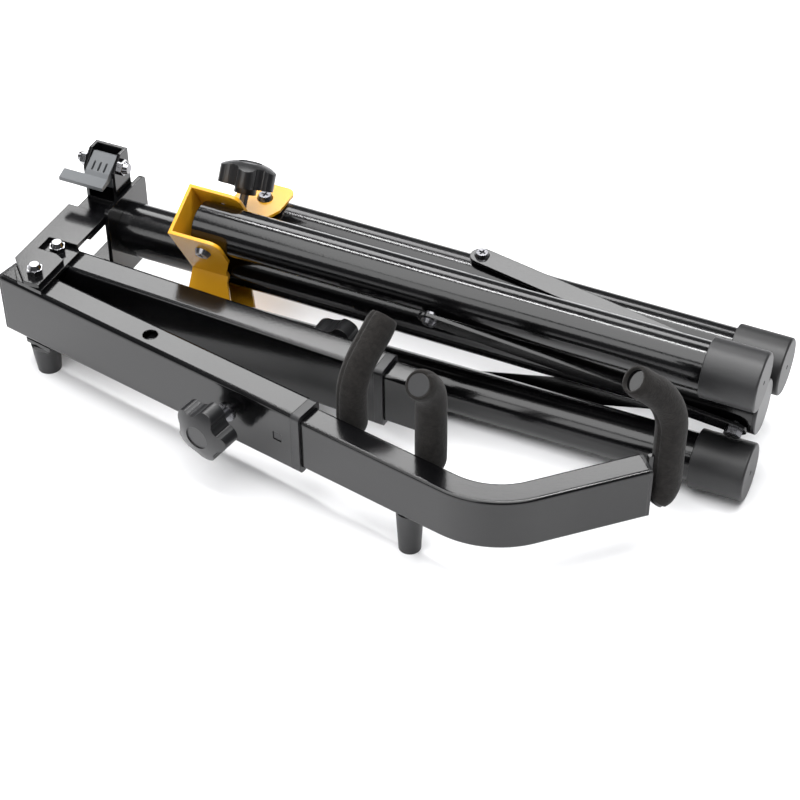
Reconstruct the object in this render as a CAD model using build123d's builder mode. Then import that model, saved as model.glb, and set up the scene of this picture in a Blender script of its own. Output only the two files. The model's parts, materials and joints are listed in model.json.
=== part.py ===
from build123d import *
from math import acos, asin, atan2, cos, degrees, hypot, radians, sin
import os

# A folding, free-standing bike rack, folded flat and lying on its side.
# +X runs along the mast from the head to the feet, +Z is up from the floor it lies on.
# Lengths inside the rack are measured from the mast's head end, on the mast's axis.
HEAD_X = -274.2        # the mast's head end in the row frame
MAST_Y = 68.5
MAST_Z = 74.4          # height of the mast's axis above the floor

# Mast and tripod
MAST_R = 24.15
MAST_WALL = 2.0
MAST_LENGTH = 596.0
LEG_ANGLES = {"rear": 0.0, "upper": 120.0, "lower": 240.0}    # about the mast, from +Y towards +Z
LEG_R = 21.0
LEG_WALL = 1.8
PIVOT_X = 108.0        # leg pivots, along the mast
PIVOT_RHO = 61.5       # leg pivots, out from the mast's axis
LEG_LEAN = -0.60      # folded legs lean towards the mast by this many degrees
LEG_HEAD = 11.0        # tube beyond the pivot
LEG_LENGTH = 494.0     # pivot to the end of the cap
CAP_R = 25.3
CAP_LENGTH = 47.0
STRUT_AT = 215.0       # strut screw, along the leg from its pivot
STRUT_WIDTH = 21.0
STRUT_THICK = 3.0
HUB_X = 583.0          # strut bolts, along the mast
HUB_RHO = 6.5          # strut bolts, out from the mast's axis

# Collar, folded from sheet
SHEET = 3.0
EAR_INSIDE = 21.5      # half the gap between the two ears that hold a leg
EAR_OUTSIDE = EAR_INSIDE + SHEET
EAR_RHO = {"rear": 84.0, "upper": 84.0, "lower": 71.5}    # how far out each leg's ears reach
WEB_X = 81.0
EAR_END_X = 129.0
STRUT_T = EAR_OUTSIDE + 0.4

# Arms
ARM_Z = -7.0           # the arms' middle plane, from the mast's axis
ARM_H = 60.0
ARM_W = 28.0
ARM_WALL = 1.8
INNER_H = 50.0
INNER_W = 23.0
INNER_WALL = 1.6
LONG_PIVOT = (-16.0, -127.0)
LONG_ANGLE = -10.5
LONG_START = -30.0
LONG_END = 287.0
SHORT_ORIGIN = (-19.0, -86.0)
SHORT_ANGLE = -2.6
SHORT_START = -24.0
SHORT_END = 320.0
INNER_START = 125.0
INNER_SHORT_END = 357.0
BEND_AT = 466.7
BEND_TURN = 54.0
BEND_R = 72.0
BEND_RUN = 130.7
LINK_BOLT = (-19.0, -87.0)
BUSH_FLANGE = 8.0
KNOB_LONG_AT = 220.0
KNOB_SHORT_AT = 262.0

# Head plates
PLATE = 4.0
PLATE_GAP = 0.4
LINK_TOP = ARM_Z + ARM_H / 2 + PLATE
LINK_BOTTOM = ARM_Z - ARM_H / 2 - PLATE
CHEEK_TOP = LINK_TOP + PLATE_GAP + PLATE
CHEEK_BOTTOM = LINK_BOTTOM - PLATE_GAP - PLATE

# Hooks
ROD_R = 9.0
FOAM_R = 13.0
HOOK_V = 25.0          # the uprights, behind the inner tube's middle plane
HOOK_NEAR = 320.0
HOOK_MID = 397.0

# Fasteners
M8_R = 4.0
RUNNING = 0.08         # radial clearance of a running fit
NUT_R = 7.5
KNOB_DOME = 54.0       # radius of a knob's domed face
NUT_H = 5.5


def spot(x, y, z):
    """A point of the rack in the row frame."""
    return (HEAD_X + x, MAST_Y + y, MAST_Z + z)


def flat(z, x=0.0, y=0.0):
    """A level sketch plane at height z from the mast's axis."""
    return Plane(origin=spot(x, y, z), x_dir=(1, 0, 0), z_dir=(0, 0, 1))


def cross(x, y=0.0, z=0.0):
    """A plane across the mast at x: its x is +Y and its y is +Z."""
    return Plane(origin=spot(x, y, z), x_dir=(0, 1, 0), z_dir=(1, 0, 0))


def outward(angle):
    """The direction straight out from the mast at an angle round it."""
    return Vector(0, cos(radians(angle)), sin(radians(angle)))


def sideways(angle):
    """The direction of a leg's pivot axis."""
    return Vector(0, -sin(radians(angle)), cos(radians(angle)))


def radial(angle, t=0.0, x=0.0):
    """A plane of x and distance out from the mast's axis, t to the side of it."""
    side = sideways(angle) * t
    return Plane(origin=spot(x, side.Y, side.Z), x_dir=(1, 0, 0), z_dir=sideways(angle))


def leg_plane(angle, t=0.0):
    """A plane of the leg's length and the direction out from the mast, at its pivot."""
    lean = Vector(cos(radians(LEG_LEAN)), 0, 0) + outward(angle) * sin(radians(LEG_LEAN))
    foot = outward(angle) * PIVOT_RHO + sideways(angle) * t
    return Plane(origin=spot(PIVOT_X, foot.Y, foot.Z), x_dir=lean, z_dir=sideways(angle))


def strut_plane(angle, t=0.0):
    """A plane of the strut's length, at its bolt on the mast."""
    along = Vector(-cos(radians(STRUT_LEAN)), 0, 0) + outward(angle) * sin(radians(STRUT_LEAN))
    foot = outward(angle) * HUB_RHO + sideways(angle) * t
    return Plane(origin=spot(HUB_X, foot.Y, foot.Z), x_dir=along, z_dir=sideways(angle))


def on_arm(arm, u, v, w, normal=(0, 0, 1), across=(1, 0, 0)):
    """A plane in an arm's own frame: u along it, v to its rear side, w up."""
    x_dir = arm.x_dir * across[0] + arm.y_dir * across[1] + arm.z_dir * across[2]
    z_dir = arm.x_dir * normal[0] + arm.y_dir * normal[1] + arm.z_dir * normal[2]
    return Plane(origin=arm.from_local_coords((u, v, w)), x_dir=x_dir, z_dir=z_dir)


def save(builder, label):
    """Name a finished piece and write it."""
    builder.part.label = label
    export_step(builder.part, "parts/" + label + ".step")


def tube_sketch(width, height, wall, corner):
    """A rectangular tube's section, in the current sketch."""
    RectangleRounded(width, height, corner)
    RectangleRounded(width - 2 * wall, height - 2 * wall, max(corner - wall, 0.8), mode=Mode.SUBTRACT)


def acorn_nut(plane):
    """A domed nut that stands on a plane."""
    with BuildSketch(plane) as hexagon:
        RegularPolygon(NUT_R, 6)
    extrude(hexagon.sketch, amount=NUT_H)
    with BuildSketch(plane.offset(NUT_H)) as dome:
        Circle(5.8)
    extrude(dome.sketch, amount=4, taper=22)


def pan_head(plane, r=7.5, height=4.2):
    """A domed screw head with a cross recess."""
    with BuildSketch(plane) as head_outline:
        Circle(r)
    extrude(head_outline.sketch, amount=height, taper=24)
    with BuildSketch(plane.offset(height)) as recess:
        Rectangle(1.7, 6.5)
        Rectangle(6.5, 1.7)
    extrude(recess.sketch, amount=-1.8, mode=Mode.SUBTRACT)


def star_knob(plane, height=22.0):
    """A five-lobed clamping knob: neck on the plane, then the domed star and its round recess."""
    with BuildSketch(plane) as neck:
        Circle(10)
    extrude(neck.sketch, amount=7)
    with BuildSketch(plane.offset(7)) as star:
        Circle(20)
        with PolarLocations(17.5, 5):
            Circle(8.5)
        with PolarLocations(31.5, 5, start_angle=36):
            Circle(12, mode=Mode.SUBTRACT)
    extrude(star.sketch, amount=height)
    with Locations(plane.offset(height + 7 - KNOB_DOME)):
        Sphere(KNOB_DOME, mode=Mode.INTERSECT)
    with BuildSketch(plane.offset(height + 7)) as emblem:
        Circle(10.5)
    extrude(emblem.sketch, amount=-2, mode=Mode.SUBTRACT)


# The strut's length and its folded angle follow from the two pivots it joins.
pin_x = PIVOT_X + STRUT_AT * cos(radians(LEG_LEAN))
pin_rho = PIVOT_RHO + STRUT_AT * sin(radians(LEG_LEAN))
STRUT_LENGTH = hypot(HUB_X - pin_x, pin_rho - HUB_RHO)
STRUT_LEAN = degrees(atan2(pin_rho - HUB_RHO, HUB_X - pin_x))

arm_long = Plane(
    origin=spot(LONG_PIVOT[0], LONG_PIVOT[1], ARM_Z),
    x_dir=(cos(radians(LONG_ANGLE)), sin(radians(LONG_ANGLE)), 0),
    z_dir=(0, 0, 1),
)
arm_short = Plane(
    origin=spot(SHORT_ORIGIN[0], SHORT_ORIGIN[1], ARM_Z),
    x_dir=(cos(radians(SHORT_ANGLE)), sin(radians(SHORT_ANGLE)), 0),
    z_dir=(0, 0, 1),
)

os.makedirs("parts", exist_ok=True)

# ---- mast -------------------------------------------------------------------------------
with BuildPart() as mast_tube:
    with BuildSketch(cross(0)):
        Circle(MAST_R)
        Circle(MAST_R - MAST_WALL, mode=Mode.SUBTRACT)
    extrude(amount=MAST_LENGTH)
    for angle in LEG_ANGLES.values():
        with BuildSketch(radial(angle, 0, HUB_X)):
            with Locations((0, HUB_RHO)):
                Circle(M8_R + 0.1)
        extrude(amount=MAST_R + 5, mode=Mode.SUBTRACT)
save(mast_tube, "mast_tube")

with BuildPart() as mast_end_plug:
    with BuildSketch(cross(MAST_LENGTH)):
        Circle(MAST_R)
    extrude(amount=3)
    fillet(mast_end_plug.faces().sort_by(Axis.X)[-1].edges(), 1.5)
    with BuildSketch(cross(MAST_LENGTH)):
        Circle(MAST_R - MAST_WALL - 0.1)
        Circle(MAST_R - MAST_WALL - 3, mode=Mode.SUBTRACT)
    extrude(amount=-5)
save(mast_end_plug, "mast_end_plug")

# A turned block inside the mast takes the three strut bolts.
BLOCK_LENGTH = 24.0
BLOCK_X = HUB_X - BLOCK_LENGTH / 2 - 5
with BuildPart() as hub_block:
    with BuildSketch(cross(BLOCK_X)):
        Circle(MAST_R - MAST_WALL - 0.1)
    extrude(amount=BLOCK_LENGTH)
    for angle in LEG_ANGLES.values():
        with BuildSketch(radial(angle, 8, HUB_X)):
            with Locations((0, HUB_RHO)):
                Circle(M8_R)
        extrude(amount=MAST_R, mode=Mode.SUBTRACT)
save(hub_block, "hub_block")

with BuildPart() as hub_bolts:
    for angle in LEG_ANGLES.values():
        with BuildSketch(radial(angle, 10, HUB_X)):
            with Locations((0, HUB_RHO)):
                Circle(M8_R - RUNNING)
        extrude(amount=STRUT_T + STRUT_THICK + 0.3 - 10)
        with BuildSketch(radial(angle, STRUT_T + STRUT_THICK + 0.3, HUB_X)):
            with Locations((0, HUB_RHO)):
                RegularPolygon(NUT_R, 6)
        extrude(amount=5.3)
save(hub_bolts, "hub_bolts")

# ---- head: end plate, shelves and cheeks ---------------------------------------------------
END_HALF = 33.0
END_TOP = 38.0
with BuildPart() as head_end_plate:
    with BuildSketch(cross(-PLATE, 0, (END_TOP + CHEEK_BOTTOM) / 2)):
        RectangleRounded(2 * END_HALF, END_TOP - CHEEK_BOTTOM, 6)
    extrude(amount=PLATE)
save(head_end_plate, "head_end_plate")

SHELF_FRONT = -58.0
SHELF_REAR = 30.0
SHELF_LEFT = -38.0


def shelf(low):
    """The short flange welded to the end plate, its underside at low."""
    with BuildSketch(flat(low, (SHELF_LEFT - PLATE) / 2, (SHELF_FRONT + SHELF_REAR) / 2)) as outline:
        Rectangle(-PLATE - SHELF_LEFT, SHELF_REAR - SHELF_FRONT)
    extrude(outline.sketch, amount=PLATE)


def cheek(low):
    """The long plate that carries the arms' pivot, with a notch that the link bolt parks in."""
    with BuildSketch(flat(low)) as outline:
        with BuildLine():
            Polyline(
                (-44, -28), (-44, -116), (-19, -141), (-4, -141), (-4, -101), (-15, -96),
                (-33, -96), (-33, -78), (-4, -78), (-4, -28), close=True,
            )
        make_face()
        with Locations(LONG_PIVOT):
            Circle(M8_R + 0.1, mode=Mode.SUBTRACT)
    extrude(outline.sketch, amount=PLATE)


with BuildPart() as shelf_upper:
    shelf(LINK_TOP - PLATE + PLATE_GAP)
save(shelf_upper, "shelf_upper")

with BuildPart() as shelf_lower:
    shelf(LINK_BOTTOM - PLATE_GAP)
save(shelf_lower, "shelf_lower")

with BuildPart() as cheek_upper:
    cheek(LINK_TOP + PLATE_GAP)
save(cheek_upper, "cheek_upper")

with BuildPart() as cheek_lower:
    cheek(CHEEK_BOTTOM)
save(cheek_lower, "cheek_lower")

FOOT_INSERT = 12.0
FOOT_R = 13.5
with BuildPart() as arm_pivot_bolt:
    with BuildSketch(flat(CHEEK_BOTTOM - FOOT_INSERT, *LONG_PIVOT)):
        Circle(M8_R)
    extrude(amount=CHEEK_TOP - CHEEK_BOTTOM + FOOT_INSERT + 1.4)
save(arm_pivot_bolt, "arm_pivot_bolt")

with BuildPart() as foot_head:
    with BuildSketch(flat(CHEEK_BOTTOM, *LONG_PIVOT)):
        Circle(FOOT_R)
    extrude(amount=-(MAST_Z + CHEEK_BOTTOM), taper=6)
    with BuildSketch(flat(CHEEK_BOTTOM, *LONG_PIVOT)):
        Circle(M8_R)
    extrude(amount=-FOOT_INSERT, mode=Mode.SUBTRACT)
save(foot_head, "foot_head")

# ---- latch --------------------------------------------------------------------------------
LATCH_LEFT = -37.0
LATCH_RIGHT = -5.0
LATCH_WALL = 3.0
LATCH_PIN = (2.0, 64.0)    # y and height
LATCH_BASE = CHEEK_TOP - PLATE
LATCH_PIN_R = 3.0
with BuildPart() as latch_housing:
    with BuildSketch(cross(LATCH_LEFT)):
        with BuildLine():
            Polyline((-8, LATCH_BASE), (17, LATCH_BASE), (17, 75), (5, 75), (-8, 62), close=True)
        make_face()
    extrude(amount=LATCH_RIGHT - LATCH_LEFT)
    with BuildSketch(cross(LATCH_LEFT + LATCH_WALL)):
        with BuildLine():
            Polyline((-30, LATCH_BASE + 3), (14, LATCH_BASE + 3), (14, 95), (-30, 95), close=True)
        make_face()
    extrude(amount=LATCH_RIGHT - LATCH_LEFT - 2 * LATCH_WALL, mode=Mode.SUBTRACT)
    with BuildSketch(cross(LATCH_LEFT - 1, *LATCH_PIN)):
        Circle(LATCH_PIN_R)
    extrude(amount=LATCH_RIGHT - LATCH_LEFT + 2, mode=Mode.SUBTRACT)
save(latch_housing, "latch_housing")

with BuildPart() as latch_bolt:
    with BuildSketch(cross(LATCH_LEFT - NUT_H, *LATCH_PIN)):
        Circle(LATCH_PIN_R)
    extrude(amount=LATCH_RIGHT - LATCH_LEFT + 2 * NUT_H)
save(latch_bolt, "latch_bolt")

with BuildPart() as latch_nuts:
    acorn_nut(Plane(origin=spot(LATCH_LEFT, *LATCH_PIN), x_dir=(0, 1, 0), z_dir=(-1, 0, 0)))
    acorn_nut(cross(LATCH_RIGHT, *LATCH_PIN))
    for end in (LATCH_LEFT - NUT_H, LATCH_RIGHT):
        with BuildSketch(cross(end, *LATCH_PIN)):
            Circle(LATCH_PIN_R)
        extrude(amount=NUT_H, mode=Mode.SUBTRACT)
save(latch_nuts, "latch_nuts")

LEVER_LEFT = -32.8
LEVER_RIGHT = -8.8
TAB_OUT = 21.0
with BuildPart() as latch_lever:
    with BuildSketch(cross(LEVER_LEFT)):
        with BuildLine():
            Polyline(
                (5, 72), (-11, 62), (-14, 59), (-24, 55.5), (-24, 52), (-13, 53.5),
                (-5, 56.5), (-1, 40), (5, 40), (9, 60), (9, 70), close=True,
            )
        make_face()
    extrude(amount=LEVER_RIGHT - LEVER_LEFT)
    with BuildSketch(cross(LEVER_LEFT - TAB_OUT)):
        with BuildLine():
            Polyline((-14, 59), (-24, 55.5), (-24, 52), (-13, 53.5), close=True)
        make_face()
    extrude(amount=TAB_OUT)
    for slot_x in (-27, -21, -15):
        with BuildSketch(flat(80, slot_x, -6.5)):
            SlotOverall(8, 2, rotation=90)
        extrude(amount=-21, mode=Mode.SUBTRACT)
    with BuildSketch(cross(LEVER_LEFT - 1, *LATCH_PIN)):
        Circle(LATCH_PIN_R + RUNNING)
    extrude(amount=LEVER_RIGHT - LEVER_LEFT + 2, mode=Mode.SUBTRACT)
save(latch_lever, "latch_lever")

# ---- collar ---------------------------------------------------------------------------------
CORNER_ANGLE = 60.0    # between the rear and the upper leg


def ear(angle, low, reach):
    """An ear of the collar, drawn in x and the distance out from the mast."""
    with BuildSketch(radial(angle, low)) as outline:
        with BuildLine():
            Polyline(
                (WEB_X, 0), (WEB_X, reach), (EAR_END_X, reach), (EAR_END_X, 50),
                (EAR_END_X - 12, 20), (EAR_END_X - 12, 0), close=True,
            )
        make_face()
        fillet(outline.vertices().sort_by_distance((EAR_END_X, reach))[0], 9)
    extrude(outline.sketch, amount=SHEET)


with BuildPart() as collar:
    for name, angle in LEG_ANGLES.items():
        reach = EAR_RHO[name]
        for low in (-EAR_OUTSIDE, EAR_INSIDE):
            ear(angle, low, reach)
        with BuildSketch(radial(angle, -EAR_OUTSIDE)):
            with Locations((WEB_X + SHEET / 2, reach / 2)):
                Rectangle(SHEET, reach)
        extrude(amount=2 * EAR_OUTSIDE)
    # only the stretch of each ear outside its neighbours' planes is there
    for angle in LEG_ANGLES.values():
        with BuildSketch(radial(angle, -EAR_INSIDE)):
            with Locations(((WEB_X + SHEET + EAR_END_X + 10) / 2, 50)):
                Rectangle(EAR_END_X + 10 - WEB_X - SHEET, 100)
        extrude(amount=2 * EAR_INSIDE, mode=Mode.SUBTRACT)
    with BuildSketch(cross(WEB_X - 5)):
        Circle(MAST_R + 0.4)
    extrude(amount=EAR_END_X - WEB_X + 10, mode=Mode.SUBTRACT)
    for angle in LEG_ANGLES.values():
        with BuildSketch(radial(angle, -40)):
            with Locations((PIVOT_X, PIVOT_RHO)):
                Circle(M8_R)
        extrude(amount=80, mode=Mode.SUBTRACT)
    knob_plane = Plane(origin=spot(PIVOT_X - 2, 0, 0), x_dir=(1, 0, 0), z_dir=outward(CORNER_ANGLE))
    with BuildSketch(knob_plane.offset(MAST_R)):
        Circle(7)
    extrude(amount=12, mode=Mode.SUBTRACT)
save(collar, "collar")

BOSS_LOW = MAST_R + 0.4
BOSS_HIGH = MAST_R + 12
with BuildPart() as collar_boss:
    with BuildSketch(knob_plane.offset(BOSS_LOW + 1)):
        Circle(7)
        Circle(M8_R, mode=Mode.SUBTRACT)
    extrude(amount=BOSS_HIGH - BOSS_LOW)
save(collar_boss, "collar_boss")

COLLAR_KNOB_RHO = 58.0
with BuildPart() as collar_knob_stud:
    with BuildSketch(knob_plane.offset(MAST_R + 0.3)):
        Circle(M8_R - RUNNING)
    extrude(amount=COLLAR_KNOB_RHO + 10 - MAST_R - 0.3)
save(collar_knob_stud, "collar_knob_stud")

with BuildPart() as collar_knob:
    star_knob(knob_plane.offset(COLLAR_KNOB_RHO))
    with BuildSketch(knob_plane.offset(COLLAR_KNOB_RHO - 1)):
        Circle(M8_R - RUNNING)
    extrude(amount=11, mode=Mode.SUBTRACT)
save(collar_knob, "collar_knob")

with BuildPart() as leg_pivot_bolts:
    for angle in LEG_ANGLES.values():
        with BuildSketch(radial(angle, -EAR_OUTSIDE - 7, 0)):
            with Locations((PIVOT_X, PIVOT_RHO)):
                Circle(M8_R)
        extrude(amount=2 * EAR_OUTSIDE + 7)
        head = radial(angle, EAR_OUTSIDE, PIVOT_X)
        pan_head(Plane(origin=head.from_local_coords((0, PIVOT_RHO, 0)), x_dir=head.x_dir, z_dir=head.z_dir))
save(leg_pivot_bolts, "leg_pivot_bolts")

with BuildPart() as leg_pivot_nuts:
    for angle in LEG_ANGLES.values():
        with BuildSketch(radial(angle, -EAR_OUTSIDE, 0)):
            with Locations((PIVOT_X, PIVOT_RHO)):
                RegularPolygon(NUT_R, 6)
                Circle(M8_R, mode=Mode.SUBTRACT)
        extrude(amount=-NUT_H)
save(leg_pivot_nuts, "leg_pivot_nuts")

# ---- legs and struts ---------------------------------------------------------------------
for name, angle in LEG_ANGLES.items():
    frame = leg_plane(angle)
    start = Plane(origin=frame.from_local_coords((-LEG_HEAD, 0, 0)), x_dir=frame.z_dir, z_dir=frame.x_dir)
    end = Plane(origin=frame.from_local_coords((LEG_LENGTH, 0, 0)), x_dir=frame.z_dir, z_dir=frame.x_dir)

    with BuildPart() as leg_tube:
        with BuildSketch(start):
            Circle(LEG_R)
            Circle(LEG_R - LEG_WALL, mode=Mode.SUBTRACT)
        extrude(amount=LEG_HEAD + LEG_LENGTH - 5)
        with BuildSketch(leg_plane(angle, -30)):
            Circle(M8_R + RUNNING)
        extrude(amount=60, mode=Mode.SUBTRACT)
    save(leg_tube, "leg_tube_" + name)

    with BuildPart() as leg_cap:
        with BuildSketch(end):
            Circle(CAP_R)
        extrude(amount=-CAP_LENGTH)
        fillet(leg_cap.faces().sort_by(Axis.X)[-1].edges(), 2)
        fillet(leg_cap.faces().sort_by(Axis.X)[0].edges(), 1)
        with BuildSketch(end.offset(-5)):
            Circle(LEG_R + 0.05)
        extrude(amount=-CAP_LENGTH, mode=Mode.SUBTRACT)
        with BuildSketch(end):
            Circle(2)
        extrude(amount=-1.5, mode=Mode.SUBTRACT)
    save(leg_cap, "leg_cap_" + name)

    with BuildPart() as strut:
        with BuildSketch(strut_plane(angle, STRUT_T)):
            with Locations((STRUT_LENGTH / 2, 0)):
                SlotOverall(STRUT_LENGTH + STRUT_WIDTH, STRUT_WIDTH)
            Circle(M8_R + RUNNING - 0.1, mode=Mode.SUBTRACT)
            with Locations((STRUT_LENGTH, 0)):
                Circle(M8_R, mode=Mode.SUBTRACT)
        extrude(amount=STRUT_THICK)
    save(strut, "strut_" + name)

    pin = strut_plane(angle, 0)
    with BuildPart() as strut_screw:
        with BuildSketch(strut_plane(angle, LEG_R + 0.3)):
            with Locations((STRUT_LENGTH, 0)):
                Circle(6)
        extrude(amount=STRUT_T - LEG_R - 0.3)
        with BuildSketch(strut_plane(angle, STRUT_T)):
            with Locations((STRUT_LENGTH, 0)):
                Circle(M8_R)
        extrude(amount=STRUT_THICK)
        tip = strut_plane(angle, STRUT_T + STRUT_THICK)
        pan_head(
            Plane(origin=tip.from_local_coords((STRUT_LENGTH, 0, 0)), x_dir=tip.x_dir, z_dir=tip.z_dir),
            6.8, 3.6,
        )
    save(strut_screw, "strut_screw_" + name)

# ---- arms: the outer tubes and what joins them -----------------------------------------------
SQUARE_AT = 272.5
SQUARE = (8.5, 8.5)
TOP_HOLE_AT = 129.0
TOP_HOLE_R = 6.5
INSERT_R = 5.5


def outer_tube(arm, start, end, knob_at, knob_side):
    """A rectangular outer tube with its hole for the clamping knob's insert."""
    with BuildSketch(on_arm(arm, start, 0, 0, (1, 0, 0), (0, 1, 0))) as section:
        tube_sketch(ARM_W, ARM_H, ARM_WALL, 4)
    extrude(section.sketch, amount=end - start)
    with BuildSketch(on_arm(arm, knob_at, 0, 0, (0, knob_side, 0), (1, 0, 0))) as hole:
        Circle(INSERT_R)
    extrude(hole.sketch, amount=ARM_W, mode=Mode.SUBTRACT)


with BuildPart() as arm_tube_long:
    outer_tube(arm_long, LONG_START, LONG_END, KNOB_LONG_AT, -1)
    with BuildSketch(on_arm(arm_long, TOP_HOLE_AT, 0, 0)):
        Circle(TOP_HOLE_R)
    extrude(amount=ARM_H, both=True, mode=Mode.SUBTRACT)
    with BuildSketch(on_arm(arm_long, SQUARE_AT, 0, 0, (0, -1, 0), (1, 0, 0))):
        Rectangle(*SQUARE)
    extrude(amount=ARM_W, mode=Mode.SUBTRACT)
    with BuildSketch(on_arm(arm_long, 0, 0, 0)):
        Circle(M8_R + 0.3)
    extrude(amount=ARM_H, both=True, mode=Mode.SUBTRACT)
save(arm_tube_long, "arm_tube_long")

with BuildPart() as arm_tube_short:
    outer_tube(arm_short, SHORT_START, SHORT_END, KNOB_SHORT_AT, 1)
    with BuildSketch(flat(ARM_Z, *LINK_BOLT)):
        Circle(M8_R)
    extrude(amount=ARM_H, both=True, mode=Mode.SUBTRACT)
save(arm_tube_short, "arm_tube_short")


def link(low):
    """A plate welded across both outer tubes."""
    with BuildSketch(flat(low)) as outline:
        with BuildLine():
            Polyline((-40, -124), (-28, -138), (-1, -143), (-1, -80), (-8, -73), (-34, -73), (-40, -80), close=True)
        make_face()
        with Locations(LONG_PIVOT):
            Circle(M8_R + RUNNING, mode=Mode.SUBTRACT)
        with Locations(LINK_BOLT):
            Circle(M8_R, mode=Mode.SUBTRACT)
    extrude(outline.sketch, amount=PLATE)


with BuildPart() as link_upper:
    link(LINK_TOP - PLATE)
save(link_upper, "link_upper")

with BuildPart() as link_lower:
    link(LINK_BOTTOM)
save(link_lower, "link_lower")

LINK_WASHER = 2.0
with BuildPart() as link_bolt:
    with BuildSketch(flat(LINK_BOTTOM - NUT_H, *LINK_BOLT)):
        Circle(M8_R)
    extrude(amount=LINK_TOP - LINK_BOTTOM + 2 * NUT_H)
save(link_bolt, "link_bolt")

with BuildPart() as link_nuts:
    acorn_nut(flat(LINK_TOP, *LINK_BOLT))
    with BuildSketch(flat(LINK_BOTTOM - NUT_H, *LINK_BOLT)):
        RegularPolygon(NUT_R, 6)
    extrude(amount=NUT_H)
    with BuildSketch(flat(LINK_BOTTOM - NUT_H, *LINK_BOLT)):
        Circle(M8_R)
    extrude(amount=LINK_TOP - LINK_BOTTOM + 2 * NUT_H, mode=Mode.SUBTRACT)
save(link_nuts, "link_nuts")

with BuildPart() as pivot_nut:
    acorn_nut(flat(CHEEK_TOP, *LONG_PIVOT))
    with BuildSketch(flat(CHEEK_TOP, *LONG_PIVOT)):
        Circle(M8_R)
    extrude(amount=1.4, mode=Mode.SUBTRACT)
save(pivot_nut, "pivot_nut")

BUSH_SLEEVE = 32.0
BUSH_GAP = 0.25


def bushing(arm, end):
    """A plastic bush in a tube's mouth, with a flange outside."""
    with BuildSketch(on_arm(arm, end, 0, 0, (1, 0, 0), (0, 1, 0))) as flange:
        RectangleRounded(ARM_W, ARM_H, 4)
        RectangleRounded(INNER_W + 2 * BUSH_GAP, INNER_H + 2 * BUSH_GAP, 3, mode=Mode.SUBTRACT)
    extrude(flange.sketch, amount=BUSH_FLANGE)
    with BuildSketch(on_arm(arm, end, 0, 0, (1, 0, 0), (0, 1, 0))) as sleeve:
        RectangleRounded(ARM_W - 2 * ARM_WALL - 0.1, ARM_H - 2 * ARM_WALL - 0.1, 2.4)
        RectangleRounded(INNER_W + 2 * BUSH_GAP, INNER_H + 2 * BUSH_GAP, 3, mode=Mode.SUBTRACT)
    extrude(sleeve.sketch, amount=-BUSH_SLEEVE)


with BuildPart() as bush_long:
    bushing(arm_long, LONG_END)
    with BuildSketch(on_arm(arm_long, SQUARE_AT, -INNER_W / 2 - 0.5, 0, (0, -1, 0), (1, 0, 0))):
        Rectangle(SQUARE[0] - 0.6, SQUARE[1] - 0.6)
    extrude(amount=1.3)
save(bush_long, "bush_long")

with BuildPart() as bush_short:
    bushing(arm_short, SHORT_END)
save(bush_short, "bush_short")

with BuildPart() as arm_end_plugs:
    for arm, start in ((arm_long, LONG_START), (arm_short, SHORT_START)):
        with BuildSketch(on_arm(arm, start, 0, 0, (-1, 0, 0), (0, 1, 0))):
            RectangleRounded(ARM_W, ARM_H, 4)
        extrude(amount=2.5)
        with BuildSketch(on_arm(arm, start, 0, 0, (1, 0, 0), (0, 1, 0))):
            tube_sketch(ARM_W - 2 * ARM_WALL - 0.1, ARM_H - 2 * ARM_WALL - 0.1, 2, 2.4)
        extrude(amount=10)
save(arm_end_plugs, "arm_end_plugs")

INSERT_FLANGE = 1.6


def insert(arm, at, side):
    """A threaded insert for a knob's stud, its flange on the tube's outside."""
    face = on_arm(arm, at, side * ARM_W / 2, 0, (0, side, 0), (1, 0, 0))
    with BuildSketch(face) as flange:
        Circle(8.5)
    extrude(flange.sketch, amount=INSERT_FLANGE)
    with BuildSketch(face) as barrel:
        Circle(INSERT_R)
    extrude(barrel.sketch, amount=-ARM_WALL - 0.4)
    with BuildSketch(face.offset(-5)) as bore:
        Circle(M8_R)
    extrude(bore.sketch, amount=12, mode=Mode.SUBTRACT)


with BuildPart() as knob_inserts:
    insert(arm_long, KNOB_LONG_AT, -1)
    insert(arm_short, KNOB_SHORT_AT, 1)
save(knob_inserts, "knob_inserts")

STUD_TIP = INNER_W / 2 + 0.35
KNOBS = {"long": (arm_long, KNOB_LONG_AT, -1, 11.0), "short": (arm_short, KNOB_SHORT_AT, 1, 3.0)}
for name, (arm, at, side, stand) in KNOBS.items():
    axis = on_arm(arm, at, 0, 0, (0, side, 0), (1, 0, 0))
    base = ARM_W / 2 + stand
    with BuildPart() as knob_stud:
        with BuildSketch(axis.offset(STUD_TIP)):
            Circle(M8_R - RUNNING)
        extrude(amount=base + 10 - STUD_TIP)
    save(knob_stud, "knob_stud_" + name)
    with BuildPart() as knob:
        star_knob(axis.offset(base))
        with BuildSketch(axis.offset(base - 1)):
            Circle(M8_R - RUNNING)
        extrude(amount=11, mode=Mode.SUBTRACT)
    save(knob, "knob_" + name)

# ---- inner tubes ------------------------------------------------------------------------------
with BuildPart() as inner_tube_long:
    with BuildLine(arm_long) as inner_path:
        FilletPolyline(
            (INNER_START, 0), (BEND_AT, 0),
            (BEND_AT + BEND_RUN * cos(radians(BEND_TURN)), BEND_RUN * sin(radians(BEND_TURN))),
            radius=BEND_R,
        )
    with BuildSketch(on_arm(arm_long, INNER_START, 0, 0, (1, 0, 0), (0, 1, 0))):
        tube_sketch(INNER_W, INNER_H, INNER_WALL, 3)
    sweep()
save(inner_tube_long, "inner_tube_long")

with BuildPart() as inner_tube_short:
    with BuildSketch(on_arm(arm_short, INNER_START, 0, 0, (1, 0, 0), (0, 1, 0))):
        tube_sketch(INNER_W, INNER_H, INNER_WALL, 3)
    extrude(amount=INNER_SHORT_END - INNER_START)
save(inner_tube_short, "inner_tube_short")

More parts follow.
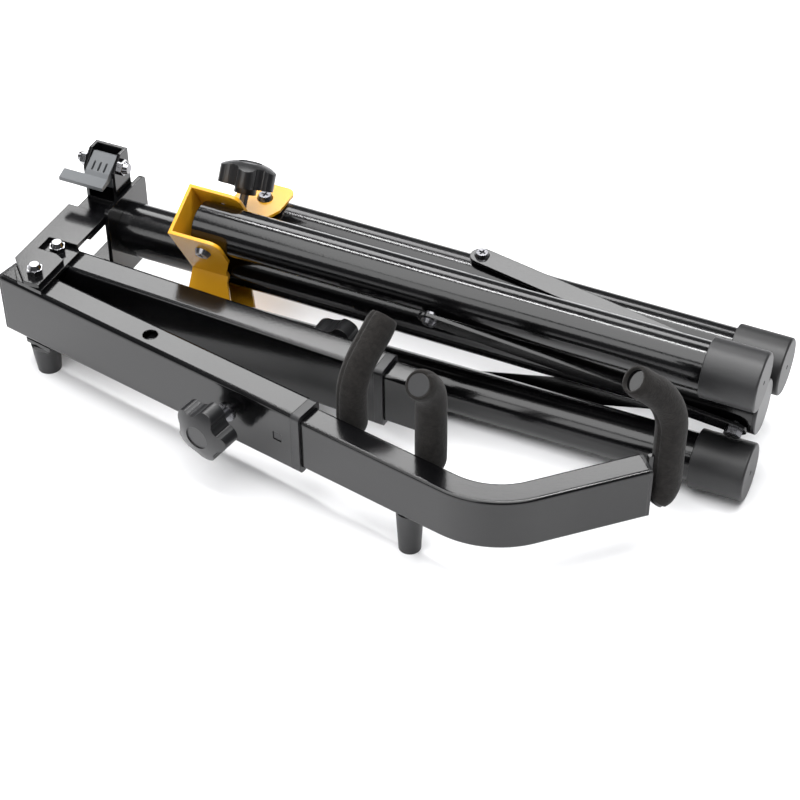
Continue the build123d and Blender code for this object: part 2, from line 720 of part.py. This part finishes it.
tail = on_arm(
    arm_long,
    BEND_AT + BEND_RUN * cos(radians(BEND_TURN)),
    BEND_RUN * sin(radians(BEND_TURN)),
    0,
    (0, 0, 1),
    (cos(radians(BEND_TURN)), sin(radians(BEND_TURN)), 0),
)


PLUG_COVER = 2.5


def inner_plug(face):
    """A plastic end plug for an inner tube."""
    with BuildSketch(face) as cover:
        RectangleRounded(INNER_W, INNER_H, 3)
    extrude(cover.sketch, amount=PLUG_COVER)
    with BuildSketch(face) as skirt:
        tube_sketch(INNER_W - 2 * INNER_WALL - 0.1, INNER_H - 2 * INNER_WALL - 0.1, 2, 1.6)
    extrude(skirt.sketch, amount=-10)


with BuildPart() as inner_plug_short:
    inner_plug(on_arm(arm_short, INNER_SHORT_END, 0, 0, (1, 0, 0), (0, 1, 0)))
save(inner_plug_short, "inner_plug_short")

with BuildPart() as inner_plug_long:
    inner_plug(on_arm(tail, 0, 0, 0, (1, 0, 0), (0, 1, 0)))
save(inner_plug_long, "inner_plug_long")

# ---- hooks: bent rods with foam sleeves ----------------------------------------------------------
FOOT_BEND = HOOK_V - INNER_W / 2     # a rod leaves the tube's rear face and turns up
ROD_FROM = -8.0
NEAR_RISE = 38.0
NEAR_TURN = 56.0
NEAR_R = 40.0
NEAR_TIP = 34.0
MID_RISE = 70.0
MID_TURN = 50.0
MID_R = 36.0
MID_TIP = 6.0
END_OUT = 20.0
END_RISE = 55.0
END_TURN = 48.0
END_R = 60.0
END_TIP = 22.0
END_LOW = 3.0
END_LOW_TURN = 40.0
END_LOW_R = 30.0
TAB_W = 18.0           # the plate that joins the end hook to the tube
TAB_H = 26.0
TAB_HALF = 2.0
FOOT_MID_AT = 394.0


def upright(arm, u):
    """A plane across an arm: its x is to the rear, its y is up."""
    return on_arm(arm, u, 0, 0, (1, 0, 0), (0, 1, 0))


near_plane = upright(arm_long, HOOK_NEAR)
mid_plane = upright(arm_long, HOOK_MID)
end_plane = Plane(origin=tail.origin, x_dir=tail.x_dir, z_dir=tail.y_dir * -1)


def hook_path(plane, low, rise, side, radius, turn, tip):
    """A hook's centre line: what is below, straight up, over to one side, and the straight tip."""
    out = END_OUT if plane is end_plane else HOOK_V
    angle = radians(turn)
    bend_end = (out + side * radius * (1 - cos(angle)), rise + radius * sin(angle))
    with BuildLine(plane) as path:
        if low == "curl":
            CenterArc((out - END_LOW_R, END_LOW), END_LOW_R, 0, -END_LOW_TURN)
            Line((out, END_LOW), (out, rise))
        elif low == "weld":
            CenterArc((out - FOOT_BEND, ROD_FROM + FOOT_BEND), FOOT_BEND, -90, 90)
            Line((out, ROD_FROM + FOOT_BEND), (out, rise))
        else:
            Line((out, ROD_FROM + FOOT_BEND + 1), (out, rise))
        CenterArc((out + side * radius, rise), radius, 180 if side > 0 else 0, -side * turn)
        Line(bend_end, (bend_end[0] + side * tip * sin(angle), bend_end[1] + tip * cos(angle)))
    return path.line


HOOKS = {
    "near": (near_plane, NEAR_RISE, 1, NEAR_R, NEAR_TURN, NEAR_TIP),
    "mid": (mid_plane, MID_RISE, -1, MID_R, MID_TURN, MID_TIP),
    "end": (end_plane, END_RISE, -1, END_R, END_TURN, END_TIP),
}
TIP_SHORT = 3.0        # the rod stops this far inside the foam
tip_planes = []
for name, (plane, rise, side, radius, turn, tip) in HOOKS.items():
    at_end = name == "end"
    path = hook_path(plane, "curl" if at_end else "weld", rise, side, radius, turn, tip - TIP_SHORT)
    with BuildPart() as rod:
        with BuildSketch(Plane(origin=path @ 0, z_dir=path % 0)):
            Circle(ROD_R)
        sweep(path=path)
        if at_end:
            with BuildSketch(plane):
                with Locations(((PLUG_COVER + END_OUT) / 2, TAB_W)):
                    Rectangle(END_OUT - PLUG_COVER, TAB_H)
            extrude(amount=TAB_HALF, both=True)
    save(rod, "hook_rod_" + name)
    tip_planes.append(Plane(origin=path @ 1, z_dir=path % 1))
    path = hook_path(plane, "curl" if at_end else "above", rise, side, radius, turn, tip)
    with BuildPart() as foam:
        with BuildSketch(Plane(origin=path @ 0, z_dir=path % 0)):
            Circle(FOAM_R)
            Circle(ROD_R + 0.05, mode=Mode.SUBTRACT)
        sweep(path=path)
        if at_end:
            with BuildSketch(plane):
                with Locations((END_OUT - FOAM_R, TAB_W)):
                    Rectangle(2 * FOAM_R, TAB_H + 2)
            extrude(amount=TAB_HALF + 0.6, both=True, mode=Mode.SUBTRACT)
    save(foam, "foam_" + name)

with BuildPart() as rod_plugs:
    for tip_plane in tip_planes:
        with BuildSketch(tip_plane):
            Circle(ROD_R)
        extrude(amount=TIP_SHORT)
save(rod_plugs, "rod_plugs")

with BuildPart() as foot_mid:
    tube_bottom = -INNER_H / 2
    with BuildSketch(on_arm(arm_long, FOOT_MID_AT, 0, tube_bottom)):
        Circle(FOOT_R - 2)
    extrude(amount=-(MAST_Z + ARM_Z + tube_bottom), taper=3)
save(foot_mid, "foot_mid")
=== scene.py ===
import json
from math import cos, exp, pi, radians, sin

import bpy
from mathutils import Matrix, Vector


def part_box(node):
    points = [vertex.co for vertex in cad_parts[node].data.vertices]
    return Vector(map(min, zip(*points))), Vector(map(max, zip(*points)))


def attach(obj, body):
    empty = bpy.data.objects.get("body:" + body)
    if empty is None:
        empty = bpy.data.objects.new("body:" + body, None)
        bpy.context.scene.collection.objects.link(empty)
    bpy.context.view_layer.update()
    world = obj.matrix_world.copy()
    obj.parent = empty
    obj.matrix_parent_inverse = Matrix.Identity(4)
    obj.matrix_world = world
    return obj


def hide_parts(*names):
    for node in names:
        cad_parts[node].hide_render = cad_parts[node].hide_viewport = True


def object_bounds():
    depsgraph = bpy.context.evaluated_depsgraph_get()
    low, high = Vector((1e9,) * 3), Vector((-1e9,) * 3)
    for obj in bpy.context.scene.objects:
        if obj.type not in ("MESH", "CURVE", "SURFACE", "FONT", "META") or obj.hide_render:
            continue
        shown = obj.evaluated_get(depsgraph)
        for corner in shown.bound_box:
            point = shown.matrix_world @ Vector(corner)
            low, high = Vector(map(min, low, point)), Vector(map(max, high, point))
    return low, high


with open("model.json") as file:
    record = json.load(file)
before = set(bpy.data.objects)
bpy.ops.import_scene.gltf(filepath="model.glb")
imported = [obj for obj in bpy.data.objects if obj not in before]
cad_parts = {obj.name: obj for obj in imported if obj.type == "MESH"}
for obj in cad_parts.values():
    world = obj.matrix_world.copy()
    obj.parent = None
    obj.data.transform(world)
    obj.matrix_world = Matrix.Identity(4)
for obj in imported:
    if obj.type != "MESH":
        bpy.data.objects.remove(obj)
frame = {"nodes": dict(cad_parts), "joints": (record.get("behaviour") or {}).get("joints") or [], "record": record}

CAD_LOW, CAD_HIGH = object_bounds()
RECORD = frame["record"]
JOINTS = {j["name"]: j for j in frame["joints"]}
MM = 0.001


# ---- materials ----------------------------------------------------------------------------
def material(name, colour, roughness, metallic=0.0, coat=0.0, coat_roughness=0.05, specular=0.5):
    """A principled material, with the nodes, links and shader that its details are added to."""
    mat = bpy.data.materials.new(name)
    mat.use_nodes = True
    nodes, links = mat.node_tree.nodes, mat.node_tree.links
    shader = nodes["Principled BSDF"]
    shader.inputs["Base Color"].default_value = (*colour, 1)
    shader.inputs["Roughness"].default_value = roughness
    shader.inputs["Metallic"].default_value = metallic
    shader.inputs["Coat Weight"].default_value = coat
    shader.inputs["Coat Roughness"].default_value = coat_roughness
    shader.inputs["Specular IOR Level"].default_value = specular
    return mat, nodes, links, shader


def noise(nodes, links, scale, detail=3.0, rough=0.5):
    """Noise in the object's own coordinates."""
    place = nodes.new("ShaderNodeTexCoord")
    tex = nodes.new("ShaderNodeTexNoise")
    tex.inputs["Scale"].default_value = scale
    tex.inputs["Detail"].default_value = detail
    tex.inputs["Roughness"].default_value = rough
    links.new(place.outputs["Object"], tex.inputs["Vector"])
    return tex


def ramp(nodes, links, source, low, high, start=0.35, end=0.65):
    """Maps a texture's grey to a range of values."""
    fit = nodes.new("ShaderNodeMapRange")
    fit.inputs["From Min"].default_value = start
    fit.inputs["From Max"].default_value = end
    fit.inputs["To Min"].default_value = low
    fit.inputs["To Max"].default_value = high
    links.new(source, fit.inputs["Value"])
    return fit.outputs["Result"]


def relief(nodes, links, shader, height, distance, edge=0.0, strength=1.0):
    """Bumps from a height, over edges rounded by the bevel node where an edge radius is given."""
    bump = nodes.new("ShaderNodeBump")
    bump.inputs["Strength"].default_value = strength
    bump.inputs["Distance"].default_value = distance
    links.new(height, bump.inputs["Height"])
    if edge:
        bevel = nodes.new("ShaderNodeBevel")
        bevel.samples = 6
        bevel.inputs["Radius"].default_value = edge
        links.new(bevel.outputs["Normal"], bump.inputs["Normal"])
    links.new(bump.outputs["Normal"], shader.inputs["Normal"])


def tint(nodes, links, shader, source, dark, light):
    """Base colour that drifts between two tones."""
    mix = nodes.new("ShaderNodeMix")
    mix.data_type = "RGBA"
    mix.inputs["A"].default_value = (*dark, 1)
    mix.inputs["B"].default_value = (*light, 1)
    links.new(ramp(nodes, links, source, low=0, high=1), mix.inputs["Factor"])
    links.new(mix.outputs["Result"], shader.inputs["Base Color"])


def vary_roughness(nodes, links, shader, source, low, high):
    """Roughness that follows a texture between two values."""
    links.new(ramp(nodes, links, source, low, high), shader.inputs["Roughness"])


def powder_coat(name, dark, light, roughness, edge):
    """Glossy powder coat: a little orange peel, faint cloudiness in its gloss, soft edges."""
    mat, nodes, links, shader = material(
        name, dark, roughness, coat=0.15, coat_roughness=0.08, specular=0.4
    )
    peel = noise(nodes, links, scale=520, detail=2)
    cloud = noise(nodes, links, scale=9, detail=4).outputs["Fac"]
    tint(nodes, links, shader, cloud, dark, light)
    vary_roughness(nodes, links, shader, cloud, low=roughness * 0.85, high=roughness * 1.2)
    relief(nodes, links, shader, peel.outputs["Fac"], distance=0.00005, edge=edge)
    return mat


def plated(name, colour, roughness, scale):
    """Plated steel with fine relief and patchy brightness."""
    mat, nodes, links, shader = material(name, colour, roughness, metallic=1.0)
    patch = noise(nodes, links, scale, detail=5, rough=0.6).outputs["Fac"]
    vary_roughness(nodes, links, shader, patch, low=roughness * 0.7, high=roughness * 1.5)
    relief(nodes, links, shader, patch, distance=0.00003, edge=0.0003)
    return mat


def moulded(name, dark, light, roughness, grain, depth):
    """Moulded plastic or rubber with a fine grain."""
    mat, nodes, links, shader = material(name, dark, roughness)
    texture = noise(nodes, links, scale=grain)
    cloud = noise(nodes, links, scale=14)
    tint(nodes, links, shader, cloud.outputs["Fac"], dark, light)
    relief(nodes, links, shader, texture.outputs["Fac"], distance=depth, edge=0.0006)
    return mat


def foam():
    """Closed-cell foam: matt, warm dark grey, full of small pits."""
    mat, nodes, links, shader = material("hook foam", (0.018, 0.016, 0.014), 0.95, specular=0.2)
    place = nodes.new("ShaderNodeTexCoord")
    cells = nodes.new("ShaderNodeTexVoronoi")
    cells.inputs["Scale"].default_value = 900
    links.new(place.outputs["Object"], cells.inputs["Vector"])
    coarse = noise(nodes, links, scale=210, detail=5, rough=0.7).outputs["Fac"]
    dark, light = (0.006, 0.0052, 0.0048), (0.014, 0.0125, 0.0115)
    tint(nodes, links, shader, coarse, dark, light)
    total = nodes.new("ShaderNodeMath")
    links.new(cells.outputs["Distance"], total.inputs[0])
    links.new(coarse, total.inputs[1])
    relief(nodes, links, shader, total.outputs["Value"], distance=0.0004, strength=0.7)
    shader.inputs["Sheen Weight"].default_value = 0.08
    shader.inputs["Sheen Roughness"].default_value = 0.5
    return mat


MATERIALS = {
    "black_paint": powder_coat(
        "black powder coat", dark=(0.0014, 0.0014, 0.0016), light=(0.0024, 0.0024, 0.0028),
        roughness=0.15, edge=0.001,
    ),
    "yellow_paint": powder_coat(
        "yellow powder coat", dark=(0.60, 0.29, 0.012), light=(0.68, 0.34, 0.018),
        roughness=0.24, edge=0.0012,
    ),
    "zinc_steel": plated("zinc plate", (0.16, 0.16, 0.17), roughness=0.25, scale=160),
    "chrome_nuts": plated("bright nuts", (0.24, 0.24, 0.25), roughness=0.1, scale=90),
    "black_plastic": moulded(
        "black plastic", dark=(0.006, 0.006, 0.007), light=(0.010, 0.010, 0.011),
        roughness=0.38, grain=700, depth=0.00004,
    ),
    "knob_plastic": moulded(
        "knob plastic", dark=(0.006, 0.006, 0.0065), light=(0.009, 0.009, 0.010),
        roughness=0.32, grain=600, depth=0.00004,
    ),
    "grey_plastic": moulded(
        "grey plastic", dark=(0.085, 0.09, 0.095), light=(0.11, 0.115, 0.12),
        roughness=0.42, grain=700, depth=0.00005,
    ),
    "black_rubber": moulded(
        "black rubber", dark=(0.007, 0.007, 0.0075), light=(0.012, 0.012, 0.013),
        roughness=0.46, grain=500, depth=0.00006,
    ),
    "hook_foam": foam(),
}

for entry in RECORD["subparts"]:
    mesh = frame["nodes"][entry["node"]].data
    mesh.materials.clear()
    mesh.materials.append(MATERIALS[entry["material_slot"]])


# ---- the long arm's own frame ----------------------------------------------------------------
PIVOT = Vector(JOINTS["arm_swing"]["pos_m"])
ALONG = Vector(JOINTS["long_arm_slide"]["axis"])
UP = Vector((0, 0, 1))
REAR = UP.cross(ALONG)
tube_low, tube_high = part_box("inner_tube_long")
ARM_MIDDLE = Vector((PIVOT.x, PIVOT.y, (tube_low.z + tube_high.z) / 2))


def along_arm(u):
    """A point on the long arm's centre line, so far from the pivot bolt."""
    return ARM_MIDDLE + ALONG * u


# ---- foam sleeves ------------------------------------------------------------------------------
FOAM_R = 13 * MM
ROD_R = 9 * MM
BORE_GAP = 0.1 * MM       # between the rod and the sleeve's bore
SKIN_INSET = 0.25 * MM    # the lumps stay inside the foam's CAD shape
SIDES = 56
STEP = 1.6 * MM           # between rings
ROLL_RINGS = 5            # the rings over which an end rolls in
ROLL_DEPTH = 1.6 * MM
UNEVEN = 0.12 * MM        # height of the swells and lumps
SWELL_RATE = 0.13         # radians per ring
SWELL_FADE = 8            # rings from an end to full swell
LOBES = 3                 # lumps round the sleeve
LOBE_TWIST = 300          # radians per metre along the hook's plane
SLIT_DEPTH = 1.7 * MM
SLIT_ANGLE = 0.07         # half width, in radians


def hook_points(out, low, rise, side, radius, turn, tip, curl=0.0, curl_turn=0.0):
    """Points and directions of a hook's centre line in its own plane, closely spaced."""
    line = []
    count = max(2, round(curl * radians(curl_turn) / STEP)) if curl else 0
    for i in range(count):
        a = radians(curl_turn) * (1 - i / count)
        line.append((out - curl + curl * cos(a), low - curl * sin(a), sin(a), cos(a)))
    count = max(2, round((rise - low) / STEP))
    for i in range(count):
        line.append((out, low + (rise - low) * i / count, 0, 1))
    count = max(2, round(radius * radians(turn) / STEP))
    for i in range(count + 1):
        a = radians(turn) * i / count
        line.append((out + side * radius * (1 - cos(a)), rise + radius * sin(a), side * sin(a), cos(a)))
    x, z, dx, dz = line[-1]
    count = max(2, round(tip / STEP))
    for i in range(1, count + 1):
        d = tip * i / count
        line.append((x + dx * d, z + dz * d, dx, dz))
    return line


def sleeve_rings(line):
    """Rings up the outside of a sleeve and back down its bore: place, direction, radius, outer."""
    rings = []
    for i, (a, w, da, dw) in enumerate(line):
        end = min(i, len(line) - 1 - i)
        shrink = ROLL_DEPTH * (1 - end / ROLL_RINGS) ** 2 if end < ROLL_RINGS else 0
        swell = UNEVEN * sin(i * SWELL_RATE)
        reach = FOAM_R - SKIN_INSET - shrink + swell * min(end / SWELL_FADE, 1)
        rings.append((a, w, da, dw, reach, True))
    for a, w, da, dw in reversed(line):
        rings.append((a, w, da, dw, ROD_R + BORE_GAP, False))
    return rings


def sleeve(name, node, origin, level, line, slit):
    """A foam sleeve round a hook, with rolled ends and the slit that it was cut along."""
    across = level.cross(UP)
    rings = sleeve_rings(line)
    verts, faces = [], []
    for a, w, da, dw, r, outer in rings:
        centre = origin + level * a + UP * w
        normal = level * dw - UP * da
        for k in range(SIDES):
            t = 2 * pi * k / SIDES
            gap = min(abs(t - slit), 2 * pi - abs(t - slit))
            cut = SLIT_DEPTH * exp(-((gap / SLIT_ANGLE) ** 2)) if outer else 0
            lump = UNEVEN * sin(LOBES * t + a * LOBE_TWIST) if outer else 0
            verts.append(centre + (normal * cos(t) + across * sin(t)) * (r - cut + lump))
    count = len(rings)
    for i in range(count):
        for k in range(SIDES):
            j, m = (i + 1) % count, (k + 1) % SIDES
            faces.append((i * SIDES + k, i * SIDES + m, j * SIDES + m, j * SIDES + k))
    mesh = bpy.data.meshes.new(name)
    mesh.from_pydata([tuple(v) for v in verts], [], faces)
    mesh.update()
    for polygon in mesh.polygons:
        polygon.use_smooth = True
    piece = bpy.data.objects.new(name, mesh)
    bpy.context.scene.collection.objects.link(piece)
    mesh.materials.append(MATERIALS["hook_foam"])
    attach(piece, "inner_long")
    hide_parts(node)


HOOK_OUT = 25 * MM        # the near and middle hooks, out from the arm's centre line
HOOK_LOW = 6.5 * MM       # where their foam starts, above it
NEAR_U = 320 * MM         # hooks and bend, along the arm from the pivot bolt
MIDDLE_U = 397 * MM
BEND_U = 466.7 * MM
BEND_TURN = radians(54)
BEND_RUN = 130.7 * MM     # from the bend to the end hook
TAIL = (ALONG * cos(BEND_TURN) + REAR * sin(BEND_TURN)).normalized()

sleeve(
    "near_foam_sleeve", "foam_near", along_arm(NEAR_U), REAR,
    hook_points(out=HOOK_OUT, low=HOOK_LOW, rise=38 * MM, side=1, radius=40 * MM, turn=56,
                tip=34 * MM),
    slit=radians(205),
)
sleeve(
    "middle_foam_sleeve", "foam_mid", along_arm(MIDDLE_U), REAR,
    hook_points(out=HOOK_OUT, low=HOOK_LOW, rise=70 * MM, side=-1, radius=36 * MM, turn=50,
                tip=6 * MM),
    slit=radians(20),
)
sleeve(
    "end_foam_sleeve", "foam_end", along_arm(BEND_U) + TAIL * BEND_RUN, TAIL,
    hook_points(out=20 * MM, low=3 * MM, rise=55 * MM, side=-1, radius=60 * MM, turn=48,
                tip=22 * MM, curl=30 * MM, curl_turn=40),
    slit=radians(160),
)


# ---- floor, light and camera -----------------------------------------------------------------------
def floor():
    """A pale, slightly glossy studio floor."""
    bpy.ops.mesh.primitive_plane_add(size=30)
    plane = bpy.context.object
    plane.name = "studio_floor"
    mat, nodes, links, shader = material("studio white", (0.90, 0.90, 0.91), 0.32)
    soft = noise(nodes, links, scale=3, detail=2)
    vary_roughness(nodes, links, shader, soft.outputs["Fac"], low=0.28, high=0.36)
    plane.data.materials.append(mat)


MIDDLE = (CAD_LOW + CAD_HIGH) / 2


def softbox(name, offset, width, length, watts):
    """A rectangular light at an offset from the part's middle, facing it."""
    data = bpy.data.lights.new(name, "AREA")
    data.shape = "RECTANGLE"
    data.size = width
    data.size_y = length
    data.energy = watts
    lamp = bpy.data.objects.new(name, data)
    place = MIDDLE + Vector(offset)
    lamp.location = place
    lamp.rotation_mode = "QUATERNION"
    lamp.rotation_quaternion = (MIDDLE - place).to_track_quat("-Z", "Y")
    bpy.context.scene.collection.objects.link(lamp)


floor()
REAR_SKY = Vector((-0.315, 0.685, 0.657))    # direction of the light behind the rack
softbox("overhead softbox", (0.1, -0.5, 2.1), width=2.6, length=2.0, watts=74)
softbox("rear softbox", REAR_SKY * 2.2, width=1.5, length=0.7, watts=22)
softbox("tube strip", (0.1, 0.35, 1.5), width=1.9, length=0.1, watts=24)
softbox("front fill", (-0.6, -2.0, 1.3), width=1.8, length=1.0, watts=20)
softbox("left fill", (-2.0, 0.2, 1.2), width=0.8, length=1.2, watts=10)

world = bpy.data.worlds.new("studio")
world.use_nodes = True
sky = world.node_tree.nodes["Background"].inputs
sky["Color"].default_value = (0.95, 0.97, 1.0, 1)
sky["Strength"].default_value = 0.16
bpy.context.scene.world = world

# The camera was fitted to the photo; it is placed from the head end of the mast's axis.
AZIMUTH = radians(24.74)
ELEVATION = radians(41.05)
ROLL = radians(-0.18)
DISTANCE = 1.812
HEAD_FROM_LATCH = Vector((21, -2, -64)) * MM
AIM_FROM_HEAD = Vector((271.5, 13.4, -116.4)) * MM
AIM = Vector(JOINTS["latch_press"]["pos_m"]) + HEAD_FROM_LATCH + AIM_FROM_HEAD
back = Vector((sin(AZIMUTH) * cos(ELEVATION), -cos(AZIMUTH) * cos(ELEVATION), sin(ELEVATION)))
camera_data = bpy.data.cameras.new("camera")
camera_data.sensor_width = 36
camera_data.lens = 89.3
camera_data.shift_x = -0.00875
camera_data.shift_y = -0.00575
camera_data.clip_start = 0.05
camera = bpy.data.objects.new("camera", camera_data)
camera.location = AIM + back * DISTANCE
camera.rotation_mode = "QUATERNION"
camera.rotation_quaternion = (
    (-back).to_track_quat("-Z", "Y") @ Matrix.Rotation(ROLL, 3, "Z").to_quaternion()
)
bpy.context.scene.collection.objects.link(camera)
bpy.context.scene.camera = camera
bpy.context.scene.view_settings.view_transform = "Standard"
